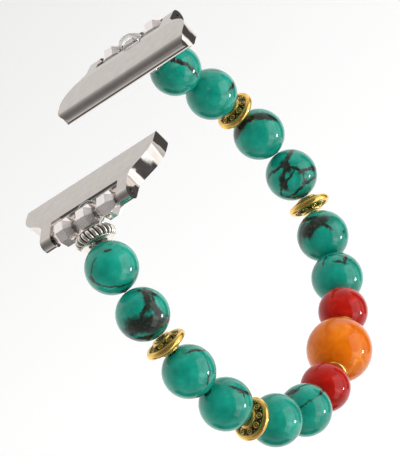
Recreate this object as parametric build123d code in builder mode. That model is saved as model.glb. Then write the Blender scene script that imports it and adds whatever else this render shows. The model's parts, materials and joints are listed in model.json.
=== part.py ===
# Bead watch band: round stone beads and metal spacers on one elastic cord, carried at each end by a
# cross bar between the two arms of a metal adapter that slides into the slot of a watch case.
# Units are millimetres and degrees.  X runs along the cross bars, Y from the near adapter to the far
# one across the watch, Z up out of the watch's face.  The origin is the middle of the near slide bar.

import math
import os

from build123d import *

os.makedirs("parts", exist_ok=True)

# Driving sizes of the string
turquoise_diameter = 8.0
red_diameter = 7.6
amber_diameter = 10.0
bead_bore = 1.1
bore_countersink = 0.25
flex_gap = 0.24
cord_diameter = 0.5

# Gold saucer spacer
saucer_diameter = 6.6
saucer_length = 2.5
saucer_rim = 1.2
saucer_collar_diameter = 3.1
saucer_bore = 1.5
motif_diameter = 0.9
motif_wall = 0.17
motif_dot = 0.3
motif_height = 0.12
motif_root = 0.3
motif_count = 9

# Plain gold ring between a red bead and the amber bead
ring_diameter = 4.0
ring_wire = 0.8
ring_pitch = 0.83
ring_seat = 0.2

# Silver rope rondelle and the crimp tube hidden in it
rondelle_diameter = 6.4
rondelle_length = 2.0
rondelle_bore = 2.9
rondelle_rib = 0.8
rondelle_rib_count = 22
rondelle_rib_slant = 17
rondelle_cheek = 0.3
crimp_length = 1.2
crimp_set_in = 0.2
crimp_wall = 0.14
strand_gap = 0.06

# Faceted silver bead on the cross bar
bar_bead_diameter = 4.1
bar_bead_length = 3.4
bar_bead_pitch = 4.2
bar_bead_end_diameter = 2.5
bar_bead_table = 1.5
bar_bead_facets = 8
rondelle_clearance = 0.3

# Spring bar: tube, two tips and the coil spring between them
tube_diameter = 1.5
tube_bore = 1.0
tube_lip = 0.4
tip_neck = 0.72
tip_piston = 0.92
tip_piston_length = 1.5
tip_reach = 1.6
running_clearance = 0.05
bar_spring_wire = 0.14
bar_spring_turns = 9
spring_seat_gap = 0.1

# Adapter: slide bar with two arms that hold the cross bar
slide_length = 25.6
slide_depth = 6.5
slide_thickness = 2.8
slide_end_radius = 1.0
arm_inner_gap = 13.2
arm_thickness = 2.0
arm_eye_radius = 1.2
tube_end_gap = 0.3
pin_outboard = 7.25
pin_drop = 0.3
trough_radius = 3.0
overrun = 1.0

# Lock button in the underside of the slide bar
button_length = 4.2
button_width = 1.2
button_proud = 0.6
button_flange = 0.35
button_flange_height = 0.4
button_clearance = 0.06
pocket_mouth_height = 0.5
pocket_depth = 2.2
lock_spring_diameter = 1.3
lock_spring_wire = 0.2
lock_spring_turns = 2

# The lie of the string in degrees: where it leaves the near bar, how far it closes at each gap
# between two pieces, and how far each piece leans sideways.
leave_angle = 215.0
STRING = [
    # piece, closing at the gap before it, sideways lean
    ("near_rope_rondelle", 0.0, 5.5),
    ("turquoise_bead_01", 14.5, 6.5),
    ("turquoise_bead_02", 21.0, 2.5),
    ("gold_saucer_1", 7.5, -1.5),
    ("turquoise_bead_03", 9.0, -3.0),
    ("turquoise_bead_04", 18.0, 0.5),
    ("gold_saucer_2", 14.5, 3.0),
    ("turquoise_bead_05", 14.5, 6.0),
    ("turquoise_bead_06", 22.0, 2.0),
    ("red_bead_1", 12.0, 4.5),
    ("gold_ring_1", 7.0, 2.0),
    ("amber_bead", 5.5, 1.0),
    ("gold_ring_2", 1.5, -3.5),
    ("red_bead_2", 1.5, -10.0),
    ("turquoise_bead_07", 14.0, -8.0),
    ("turquoise_bead_08", 23.5, -2.5),
    ("gold_saucer_3", 11.0, 0.5),
    ("turquoise_bead_09", 10.5, -1.5),
    ("turquoise_bead_10", 22.5, -3.0),
    ("gold_saucer_4", 14.5, 0.5),
    ("turquoise_bead_11", 9.5, 1.5),
    ("turquoise_bead_12", -1.0, -0.5),
    ("far_rope_rondelle", -1.0, -0.5),
]

ball_diameters = {"turquoise": turquoise_diameter, "red": red_diameter, "amber": amber_diameter}
pin_to_rondelle = bar_bead_diameter / 2 + rondelle_clearance


def kind_of(name):
    return name.split("_")[0]


def reach_before(name, before):
    """Distance from a piece's middle back to the hinge point in the gap before it."""
    if "rondelle" in name:
        start = pin_to_rondelle if before is None else flex_gap / 2
        return rondelle_length / 2 + start
    if "ring" in name:
        return ring_pitch / 2 - ring_seat
    half = saucer_length / 2 if "saucer" in name else ball_diameters[kind_of(name)] / 2
    return half + (ring_seat if before and "ring" in before else flex_gap / 2)


def lay_out(string):
    """Walk the string from the near bar and return each piece's plane and the hinge points."""
    start = Vector(0, -pin_outboard, -pin_drop)
    point, angle = start, leave_angle
    planes, hinges = {}, [start]
    names = [row[0] for row in string]
    for index, (name, closing, lean) in enumerate(string):
        angle += closing
        turn, side = math.radians(angle), math.radians(lean)
        heading = Vector(
            math.sin(side), math.cos(side) * math.cos(turn), math.cos(side) * math.sin(turn)
        )
        before = names[index - 1] if index else None
        after = names[index + 1] if index + 1 < len(names) else None
        middle = point + heading * reach_before(name, before)
        planes[name] = Plane(origin=middle, x_dir=(1, 0, 0), z_dir=heading)
        point = middle + heading * reach_before(name, after)
        hinges.append(point)
    return planes, hinges


piece_planes, hinge_points = lay_out(STRING)
near_pin, far_pin = hinge_points[0], hinge_points[-1]
near_place = Plane.XY
far_place = Plane(
    origin=(far_pin.X, far_pin.Y - pin_outboard, far_pin.Z + pin_drop),
    x_dir=(-1, 0, 0),
    z_dir=(0, 0, 1),
)


def profile_plane(plane):
    """The plane through a piece's axis: X outward from the axis, Y along it."""
    return Plane(origin=plane.origin, x_dir=plane.x_dir, z_dir=-plane.y_dir)


def write(solid, name):
    solid.label = name
    export_step(solid, f"parts/{name}.step")


# Round beads
def make_ball(name, diameter, plane):
    """A drilled ball whose bore opens in a small countersink at each end."""
    radius, bore = diameter / 2, bead_bore / 2
    mouth = math.sqrt(radius**2 - bore**2)
    with BuildPart() as ball:
        with BuildSketch(profile_plane(plane)):
            Circle(radius)
            with Locations((-radius, 0)):
                Rectangle(2 * radius, 2 * radius, mode=Mode.SUBTRACT)
            Rectangle(bead_bore, 2 * radius, mode=Mode.SUBTRACT)
            with BuildLine():
                Polyline(
                    (bore, mouth - bore_countersink),
                    (bore + bore_countersink, radius),
                    (bore, radius),
                    close=True,
                )
            make_face(mode=Mode.SUBTRACT)
            with BuildLine():
                Polyline(
                    (bore, bore_countersink - mouth),
                    (bore, -radius),
                    (bore + bore_countersink, -radius),
                    close=True,
                )
            make_face(mode=Mode.SUBTRACT)
        revolve(axis=Axis(plane.origin, plane.z_dir))
    write(ball.part, name)


# Gold saucer spacers
def make_saucer(name, plane):
    """Two shallow cones between a round rim and end collars, each cone set with raised rings and dots.

    It is turned about the bench's own axis and then set on the cord at its plane.
    """
    bench = Plane.XY
    bore, collar = saucer_bore / 2, saucer_collar_diameter / 2
    half, rim = saucer_length / 2, saucer_rim / 2
    rim_middle = saucer_diameter / 2 - rim
    collar_width = (collar - bore) / 2
    foot = rim * 2 / 3
    shoulder = half - collar_width
    with BuildPart() as saucer:
        with BuildSketch(profile_plane(bench)):
            with BuildLine():
                Polyline(
                    (bore, -half),
                    (collar - collar_width / 2, -half),
                    (collar, -half + collar_width / 2),
                    (collar, -shoulder),
                    (rim_middle, -foot),
                    (rim_middle, foot),
                    (collar, shoulder),
                    (collar, half - collar_width / 2),
                    (collar - collar_width / 2, half),
                    (bore, half),
                    close=True,
                )
            make_face()
            with Locations((rim_middle, 0)):
                Circle(rim)
        revolve(axis=Axis.Z)
        slope = math.degrees(math.atan2(shoulder - foot, rim_middle - collar))
        motif_radius = (collar + rim_middle) / 2
        motif_level = (shoulder + foot) / 2
        for side in (1, -1):
            for step in range(motif_count):
                turn = 2 * math.pi * (step + 1 / 3) / motif_count
                outward = bench.x_dir * math.cos(turn) + bench.y_dir * math.sin(turn)
                tilt = math.radians(slope)
                up = bench.z_dir * side * math.cos(tilt) + outward * math.sin(tilt)
                seat = outward * motif_radius + bench.z_dir * side * motif_level
                with BuildSketch(Plane(origin=seat - up * motif_root, z_dir=up)):
                    Circle(motif_diameter / 2)
                    Circle(motif_diameter / 2 - motif_wall, mode=Mode.SUBTRACT)
                    Circle(motif_dot / 2)
                extrude(amount=motif_root + motif_height)
    write(saucer.part.moved(plane.location), name)


# Plain gold rings
def make_ring(name, plane):
    with BuildPart() as ring:
        with BuildSketch(profile_plane(plane)):
            with Locations(((ring_diameter - ring_wire) / 2, 0)):
                Circle(ring_wire / 2)
        revolve(axis=Axis(plane.origin, plane.z_dir))
    write(ring.part, name)


# Silver rope rondelles
def make_rondelle(name, plane):
    """A ring wound with slanted wire ribs between two smooth cheeks."""
    bore, outer = rondelle_bore / 2, rondelle_diameter / 2
    half, rib = rondelle_length / 2, rondelle_rib / 2
    core = outer - rib
    with BuildPart() as rondelle:
        with BuildSketch(profile_plane(plane)):
            with Locations(((bore + core) / 2, 0)):
                Rectangle(core - bore, rondelle_length - rondelle_cheek)
            for side in (1, -1):
                with Locations(((bore + core) / 2, side * (half - rondelle_cheek / 2))):
                    RectangleRounded(core - bore, rondelle_cheek, rondelle_cheek / 3)
        revolve(axis=Axis(plane.origin, plane.z_dir))
        slant = math.radians(rondelle_rib_slant)
        for step in range(rondelle_rib_count):
            turn = 2 * math.pi * step / rondelle_rib_count
            outward = plane.x_dir * math.cos(turn) + plane.y_dir * math.sin(turn)
            around = plane.z_dir.cross(outward)
            along = plane.z_dir * math.cos(slant) + around * math.sin(slant)
            foot = plane.origin + outward * core - along * (half - rondelle_cheek)
            with BuildSketch(Plane(origin=foot, z_dir=along)):
                Circle(rib)
            extrude(amount=2 * (half - rondelle_cheek))
    write(rondelle.part, name)


def make_crimp(name, plane):
    """An oval tube squeezed on the string's strand and the free strand of the end loop beside it."""
    pitch = cord_diameter + strand_gap
    with BuildPart() as crimp:
        with BuildSketch(plane.offset(-crimp_length / 2)):
            with Locations((pitch / 2, 0)):
                SlotCenterToCenter(pitch, pitch + 2 * crimp_wall)
                SlotCenterToCenter(pitch, pitch, mode=Mode.SUBTRACT)
        extrude(amount=crimp_length)
    write(crimp.part, name)


for piece, plane in piece_planes.items():
    if kind_of(piece) in ball_diameters:
        make_ball(piece, ball_diameters[kind_of(piece)], plane)
    elif "saucer" in piece:
        make_saucer(piece, plane)
    elif "ring" in piece:
        make_ring(piece, plane)
    else:
        make_rondelle(piece, plane)
        inward = crimp_set_in if piece.startswith("near") else -crimp_set_in
        make_crimp(piece.replace("rope_rondelle", "crimp_tube"), plane.offset(inward))


# Elastic cord
def end_loop(plane, pin, away):
    """Points of the loop at one end, from the crimp's free strand round the bar to the string's strand.

    The cord dips between the middle bar bead and its neighbours, goes round the bar on the wrist's
    side in both dips, and crosses behind the middle bead.  away points from the bar into the string.
    """
    pitch = cord_diameter + strand_gap
    groove = bar_bead_pitch / 2
    over = (tube_diameter + cord_diameter) / 2 + strand_gap
    behind = (bar_bead_diameter + cord_diameter) / 2 + strand_gap
    shoulder_slope = (bar_bead_diameter - bar_bead_end_diameter) / (bar_bead_length - bar_bead_table)
    across = plane.x_dir
    up = away.cross(across).normalized()
    up = up if up.Z < 0 else -up
    crimp_middle = plane.origin + away * crimp_set_in
    mouth = crimp_middle - away * (crimp_length / 2 + cord_diameter / 2)
    table_edge = bar_bead_table / 2
    clear = behind + strand_gap
    dip = [
        pin + away * clear + across * table_edge,
        pin + away * (clear - (groove - table_edge) * shoulder_slope) + across * groove + up * strand_gap * 5,
        pin + across * groove + up * (over + cord_diameter + 4 * strand_gap),
        pin - away * over * 3 / 2 + across * groove + up * over,
        pin - away * (clear + strand_gap) + across * (groove / 2),
    ]
    mirrored = [point - across * (2 * (point - pin).dot(across)) for point in dip[::-1]]
    free_strand = [crimp_middle + away * (crimp_length / 2) + across * pitch, mouth + across * pitch]
    return free_strand + dip + mirrored + [mouth]


near_end, far_end = piece_planes["near_rope_rondelle"], piece_planes["far_rope_rondelle"]
near_loop = end_loop(near_end, near_pin, near_end.z_dir)
far_loop = end_loop(far_end, far_pin, -far_end.z_dir)
through = []
for index, row in enumerate(STRING[1:], start=1):
    if "ring" in row[0]:
        through.append(piece_planes[row[0]].origin)
    elif "ring" not in STRING[index - 1][0]:
        through.append(hinge_points[index])
route = near_loop + through + far_loop[::-1]


def bend_radii(points):
    """A radius for each corner: a share of the shorter run beside it, and no tighter than the cord."""
    run_share = 0.3
    radii = []
    for before, corner, after in zip(points, points[1:], points[2:]):
        run = min((corner - before).length, (after - corner).length)
        half_turn = math.radians((corner - before).get_angle(after - corner) / 2)
        radii.append(run_share * run / math.tan(half_turn))
    return radii


radii = bend_radii(route)
print("cord radii", [round(radius, 2) for radius in radii])
with BuildPart() as cord:
    with BuildLine() as cord_line:
        FilletPolyline(*route, radius=radii)
    cord_path = cord_line.wires()[0]
    with BuildSketch(Plane(origin=cord_path @ 0, z_dir=cord_path % 0)):
        Circle(cord_diameter / 2)
    sweep(path=cord_path)
section = math.pi * cord_diameter**2 / 4
print("cord length", round(cord_path.length, 1))
print("cord volume over section times length", round(cord.part.volume / section / cord_path.length, 4))
write(cord.part, "elastic_cord")


# Spring bars and the beads on them
def bar_plane(place, x):
    """A plane square to the cross bar at x along it, its Z along the bar."""
    return Plane(
        origin=place.from_local_coords((x, -pin_outboard, -pin_drop)),
        x_dir=place.y_dir,
        z_dir=place.x_dir,
    )


tube_half = arm_inner_gap / 2 - tube_end_gap
piston_outer = tube_half - tube_lip


def make_bar(end, place):
    with BuildPart() as tube:
        with BuildSketch(bar_plane(place, -tube_half)):
            Circle(tube_diameter / 2)
        extrude(amount=2 * tube_half)
        with BuildSketch(bar_plane(place, -tube_half)):
            Circle(tip_neck / 2 + running_clearance)
        extrude(amount=2 * tube_half, mode=Mode.SUBTRACT)
        with BuildSketch(bar_plane(place, -piston_outer)):
            Circle(tube_bore / 2)
        extrude(amount=2 * piston_outer, mode=Mode.SUBTRACT)
    write(tube.part, f"{end}_bar_tube")

    for side, sign in (("left", -1), ("right", 1)):
        neck_length = tube_lip + tube_end_gap + tip_reach
        with BuildPart() as tip:
            with BuildSketch(bar_plane(place, sign * (piston_outer - tip_piston_length))):
                Circle(tip_piston / 2)
            extrude(amount=sign * tip_piston_length)
            with BuildSketch(bar_plane(place, sign * piston_outer)):
                Circle(tip_neck / 2)
            extrude(amount=sign * neck_length)
            outermost = tip.faces().sort_by(Axis(bar_plane(place, 0).origin, place.x_dir * sign))[-1]
            chamfer(outermost.edges(), tip_neck / 5)
        write(tip.part, f"{end}_bar_tip_{side}")

    spring_half = piston_outer - tip_piston_length - spring_seat_gap
    coil_radius = tube_bore / 2 - running_clearance - bar_spring_wire / 2
    make_spring(
        f"{end}_bar_spring",
        bar_plane(place, -spring_half + bar_spring_wire / 2),
        2 * spring_half - bar_spring_wire,
        coil_radius,
        bar_spring_wire,
        bar_spring_turns,
    )

    for number, step in enumerate((-1, 0, 1), start=1):
        make_bar_bead(f"{end}_bar_bead_{number}", place, step * bar_bead_pitch)


def make_spring(name, plane, height, radius, wire, turns):
    """An open coil of round wire that climbs along the plane's Z."""
    with BuildPart() as spring:
        with BuildLine() as coil:
            Helix(
                pitch=height / turns,
                height=height,
                radius=radius,
                center=plane.origin,
                direction=plane.z_dir,
            )
        coil_path = coil.edges()[0]
        with BuildSketch(Plane(origin=coil_path @ 0, z_dir=coil_path % 0)):
            Circle(wire / 2)
        sweep(path=coil_path, is_frenet=True)
    print(name, "least gap between turns", round(height / turns - wire, 2))
    write(spring.part, name)


def make_bar_bead(name, place, x):
    """A barrel cut in flat facets, bored to turn on the bar."""
    stations = [
        (-bar_bead_length / 2, bar_bead_end_diameter),
        (-bar_bead_table / 2, bar_bead_diameter),
        (bar_bead_table / 2, bar_bead_diameter),
        (bar_bead_length / 2, bar_bead_end_diameter),
    ]
    with BuildPart() as bead:
        for offset_x, diameter in stations:
            with BuildSketch(bar_plane(place, x + offset_x)):
                RegularPolygon(diameter / 2, bar_bead_facets)
        loft(ruled=True)
        with BuildSketch(bar_plane(place, x - bar_bead_length / 2)):
            Circle(tube_diameter / 2 + running_clearance)
        extrude(amount=bar_bead_length, mode=Mode.SUBTRACT)
    write(bead.part, name)


# Adapters
sweep_share = 0.6
pocket_flange = button_width + 2 * button_flange
pocket_roof = -slide_thickness / 2 + pocket_depth


def make_adapter(end, place):
    """A slide bar whose ends sweep back in an S into two arms, with a trough behind the bar beads."""
    half_slide, half_gap = slide_length / 2, arm_inner_gap / 2
    arm_outer = half_gap + arm_thickness
    nose, back = slide_depth / 2, -slide_depth / 2
    arm_end = -pin_outboard - arm_eye_radius
    throat = -pin_outboard + trough_radius / 2
    shoulder = (back - pin_outboard) / 2
    sweep_top = back + slide_depth * sweep_share
    with BuildPart() as adapter:
        with BuildSketch(place.offset(-slide_thickness / 2 - pin_drop)):
            with BuildLine():
                Line((0, nose), (half_slide - slide_end_radius, nose))
                ThreePointArc(
                    (half_slide - slide_end_radius, nose),
                    (
                        half_slide - slide_end_radius * (1 - math.sqrt(1 / 2)),
                        nose - slide_end_radius * (1 - math.sqrt(1 / 2)),
                    ),
                    (half_slide, nose - slide_end_radius),
                )
                Line((half_slide, nose - slide_end_radius), (half_slide, sweep_top))
                Bezier((half_slide, sweep_top), (half_slide, back), (arm_outer, back), (arm_outer, shoulder))
                Polyline(
                    (arm_outer, shoulder),
                    (arm_outer, arm_end),
                    (half_gap, arm_end),
                    (half_gap, throat),
                    (0, throat),
                )
                mirror(about=Plane.YZ)
            make_face()
        extrude(amount=slide_thickness + 2 * pin_drop)
        side = Plane(
            origin=place.from_local_coords((-half_slide - overrun, 0, 0)),
            x_dir=place.y_dir,
            z_dir=place.x_dir,
        )
        with BuildSketch(side):
            with Locations((-pin_outboard, -pin_drop)):
                Circle(arm_eye_radius)
            with Locations((back / 2, 0)):
                Rectangle(slide_depth / 2, slide_thickness)
            make_hull()
            with Locations((0, 0)):
                Rectangle(slide_depth - slide_thickness, slide_thickness)
            with Locations((nose - slide_thickness / 2, 0)):
                Circle(slide_thickness / 2)
        extrude(amount=slide_length + 2 * overrun, mode=Mode.INTERSECT)
        # Trough that clears the bar beads and the cord behind them
        with BuildSketch(bar_plane(place, -half_gap)):
            Circle(trough_radius)
        extrude(amount=arm_inner_gap, mode=Mode.SUBTRACT)
        # Eyes for the tips of the spring bar
        with BuildSketch(bar_plane(place, -arm_outer - overrun)):
            Circle(tip_neck / 2 + running_clearance)
        extrude(amount=2 * (arm_outer + overrun), mode=Mode.SUBTRACT)
        # Stepped pocket for the lock button
        with BuildSketch(place.offset(-slide_thickness / 2 - overrun)):
            SlotOverall(button_length + 2 * button_clearance, button_width + 2 * button_clearance)
        extrude(amount=overrun + pocket_mouth_height, mode=Mode.SUBTRACT)
        with BuildSketch(place.offset(-slide_thickness / 2 + pocket_mouth_height)):
            SlotOverall(
                button_length + 2 * button_flange + 2 * button_clearance,
                pocket_flange + 2 * button_clearance,
            )
        extrude(amount=pocket_depth - pocket_mouth_height, mode=Mode.SUBTRACT)
    write(adapter.part, f"{end}_adapter")


def make_lock(end, place):
    """The sprung button: a rounded stem with a flange that the pocket's mouth holds in."""
    seat = -slide_thickness / 2 + pocket_mouth_height
    with BuildPart() as button:
        with BuildSketch(place.offset(seat)):
            SlotOverall(button_length + 2 * button_flange, pocket_flange)
        extrude(amount=button_flange_height)
        with BuildSketch(place.offset(seat)):
            SlotOverall(button_length, button_width)
        extrude(amount=-pocket_mouth_height - button_proud)
        lowest = button.faces().sort_by(Axis.Z)[0]
        fillet(lowest.edges(), button_width / 4)
    write(button.part, f"{end}_lock_button")

    foot = seat + button_flange_height + spring_seat_gap + lock_spring_wire / 2
    make_spring(
        f"{end}_lock_spring",
        place.offset(foot),
        pocket_roof - spring_seat_gap - lock_spring_wire / 2 - foot,
        (lock_spring_diameter - lock_spring_wire) / 2,
        lock_spring_wire,
        lock_spring_turns,
    )


for end, place in (("near", near_place), ("far", far_place)):
    make_adapter(end, place)
    make_bar(end, place)
    make_lock(end, place)

print("far bar", tuple(round(value, 3) for value in far_pin))
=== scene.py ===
# %% [markdown]
# # A bead watch band, from stone to polished steel
# The band is a stretch string of turquoise, red and amber beads with gold spacers. Each end of the
# string hangs on a spring bar that carries three small faceted beads, and a polished steel adapter
# holds the bar. The construction comes in as a fixed frame of solids in metres. This notebook gives
# it finishes, and builds the few pieces whose ornament is finer than their solids: the spacers, the
# rope rondelles and the cord.

# %% The frame
import json
import math

import bpy
import numpy as np
from mathutils import Matrix, Vector


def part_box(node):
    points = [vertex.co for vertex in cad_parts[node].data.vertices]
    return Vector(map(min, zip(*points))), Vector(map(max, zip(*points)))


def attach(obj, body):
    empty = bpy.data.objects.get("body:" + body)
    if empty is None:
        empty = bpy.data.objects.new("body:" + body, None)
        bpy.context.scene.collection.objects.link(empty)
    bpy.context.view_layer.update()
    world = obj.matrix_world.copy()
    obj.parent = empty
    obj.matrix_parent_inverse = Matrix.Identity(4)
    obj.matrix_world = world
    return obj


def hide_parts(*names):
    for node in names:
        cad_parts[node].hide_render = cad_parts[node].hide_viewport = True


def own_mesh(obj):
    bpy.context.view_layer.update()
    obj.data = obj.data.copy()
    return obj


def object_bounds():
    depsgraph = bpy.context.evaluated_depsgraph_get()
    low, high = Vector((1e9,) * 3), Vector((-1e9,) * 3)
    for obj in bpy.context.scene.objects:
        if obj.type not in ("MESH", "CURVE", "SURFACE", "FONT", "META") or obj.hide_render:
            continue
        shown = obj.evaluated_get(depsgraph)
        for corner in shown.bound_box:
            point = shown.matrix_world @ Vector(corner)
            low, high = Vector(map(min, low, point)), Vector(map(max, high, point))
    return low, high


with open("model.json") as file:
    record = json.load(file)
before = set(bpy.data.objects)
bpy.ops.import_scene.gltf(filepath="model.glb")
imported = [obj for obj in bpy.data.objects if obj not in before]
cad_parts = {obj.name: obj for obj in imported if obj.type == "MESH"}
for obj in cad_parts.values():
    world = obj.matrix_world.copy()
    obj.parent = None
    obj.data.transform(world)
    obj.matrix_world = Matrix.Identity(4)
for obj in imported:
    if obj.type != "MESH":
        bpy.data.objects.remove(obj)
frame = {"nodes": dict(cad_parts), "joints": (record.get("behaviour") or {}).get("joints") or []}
cad_low, cad_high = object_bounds()
mm = 0.001

# %% [markdown]
# ## Reading the string
# Every gap in the string has a hinge, and the hinge points are where the cord passes from one piece
# into the next. Two neighbouring points therefore give a piece's bore: its axis, its place and the
# way it leans. Nothing has to be measured twice.

# %% Bores along the string
pieces_in_order = ["near_rope_rondelle"]
bore_ends = []
for joint in frame["joints"]:
    if joint["name"] == "near_bar_pivot" or joint["name"].startswith("flex_"):
        bore_ends.append(joint["pos_m"])
        if joint["name"].startswith("flex_"):
            pieces_in_order.append(joint["child"])
    if joint["name"] == "far_bar_pivot":
        far_pin = np.array(joint["pos_m"])
bore_ends = np.array(bore_ends + [far_pin])
near_pin = bore_ends[0]
bore_of = {name: (bore_ends[i], bore_ends[i + 1]) for i, name in enumerate(pieces_in_order)}
print("pieces on the cord:", len(pieces_in_order))


# %% [markdown]
# ## Camera
# The picture was taken with a long lens, from above the wearer's side of the loop, with the camera
# rolled. Its place and turn were solved from the centres of the beads, so the render lines up with
# the picture bead by bead.

# %% Camera
def unit(vector):
    """The vector divided by its length."""
    vector = np.asarray(vector, float)
    return vector / np.linalg.norm(vector)


look_right = unit((0.73579, 0.15015, -0.66036))
look_up = unit((0.46139, 0.60262, 0.65112))
look_back = unit((0.49571, -0.78377, 0.37413))
# the lens in pixels of the picture, the picture's height in pixels and the sensor in millimetres
focal_pixels, picture_height, sensor_width = 5083, 457, 36
# the near pin as the camera sees it: right, down and forward
pin_seen = np.array((-16.18, -1.41, 735.53)) * mm

camera_data = bpy.data.cameras.new("camera")
camera_data.sensor_fit = "AUTO"
camera_data.sensor_width = sensor_width
camera_data.lens = focal_pixels * sensor_width / picture_height
camera = bpy.data.objects.new("camera", camera_data)
turn = Matrix([[look_right[i], look_up[i], look_back[i]] for i in range(3)])
place = near_pin - (look_right * pin_seen[0] - look_up * pin_seen[1] - look_back * pin_seen[2])
camera.matrix_world = Matrix.Translation(Vector(place)) @ turn.to_4x4()
camera_data.clip_start, camera_data.clip_end = 0.05, 20
bpy.context.scene.collection.objects.link(camera)
bpy.context.scene.camera = camera
print("camera at", [round(float(c), 4) for c in place])


# %% [markdown]
# ## Colour and nodes
# Colours are written as sRGB hex values, the way a colour picker shows them, and one function turns
# them into the linear values that the renderer adds up. Another adds a shader node with its settings
# and links, so that a material reads as a short recipe.

# %% Colour and node helpers
def linear(code):
    """sRGB hex to linear: c / 12.92 below 0.04045, otherwise ((c + 0.055) / 1.055) to the power 2.4."""
    channels = [int(code[i:i + 2], 16) / 255 for i in (1, 3, 5)]
    return tuple(c / 12.92 if c <= 0.04045 else ((c + 0.055) / 1.055) ** 2.4 for c in channels) + (1.0,)


def add(tree, kind, settings=None, output=0):
    """One node, and the socket of its output.

    A setting names an input or, if there is no such input, a property of the node. A value that is the
    socket of another node is linked. The setting stops holds a colour ramp's (place, colour) pairs.
    """
    node = tree.nodes.new(kind)
    for name, value in (settings or {}).items():
        if isinstance(value, bpy.types.NodeSocket):
            tree.links.new(value, node.inputs[name])
        elif name == "stops":
            elements = node.color_ramp.elements
            while len(elements) < len(value):
                elements.new(0.5)
            for element, (position, colour) in zip(elements, value):
                element.position, element.color = position, colour
        elif isinstance(name, int) or name in node.inputs:
            node.inputs[name].default_value = value
        else:
            setattr(node, name, value)
    return node.outputs[output] if node.outputs else None


def fresh_material(name):
    """An empty material and its node tree. finish_material gives it its surface."""
    material = bpy.data.materials.new(name)
    material.use_nodes = True
    material.node_tree.nodes.clear()
    return material, material.node_tree


def finish_material(tree, shader):
    """Links a shader to the material's surface."""
    add(tree, "ShaderNodeOutputMaterial", {"Surface": shader})


def millimetres(tree, centre=(0, 0, 0)):
    """Object coordinates in millimetres about a centre, so a noise scale of 1 has cells of 1 mm."""
    place = add(tree, "ShaderNodeTexCoord", output="Object")
    return add(tree, "ShaderNodeMapping", {
        "Vector": place, "Scale": (1 / mm,) * 3, "Location": tuple(-float(c) / mm for c in centre)})


# %% [markdown]
# ## Turquoise
# The beads are block turquoise: stone powder and resin pressed together, ground round and polished.
# The body is an even blue-green with cloudy patches a millimetre or two wide. The matrix, the brown
# rock that runs through it, comes as dark pools with ragged edges and as veins between them. Each bead
# was cut from another place in the block, so each has its own list of strokes. A stroke is a long
# ellipsoid in the bead, noise eats into its edge, and a thin one stays faint, because the rock in a
# crack is thinner than the stone is clear. Its ends are given as they are seen, in shares of
# the bead's radius to the right and up, because that is how a bead is compared with its picture.

# %% Strokes of matrix
def on_bead(right, up):
    """A point of the unit ball's near side: back is what is left of 1 after right and up."""
    back = math.sqrt(max(0.0, 1 - right * right - up * up))
    return look_right * right + look_up * up + look_back * back


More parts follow.
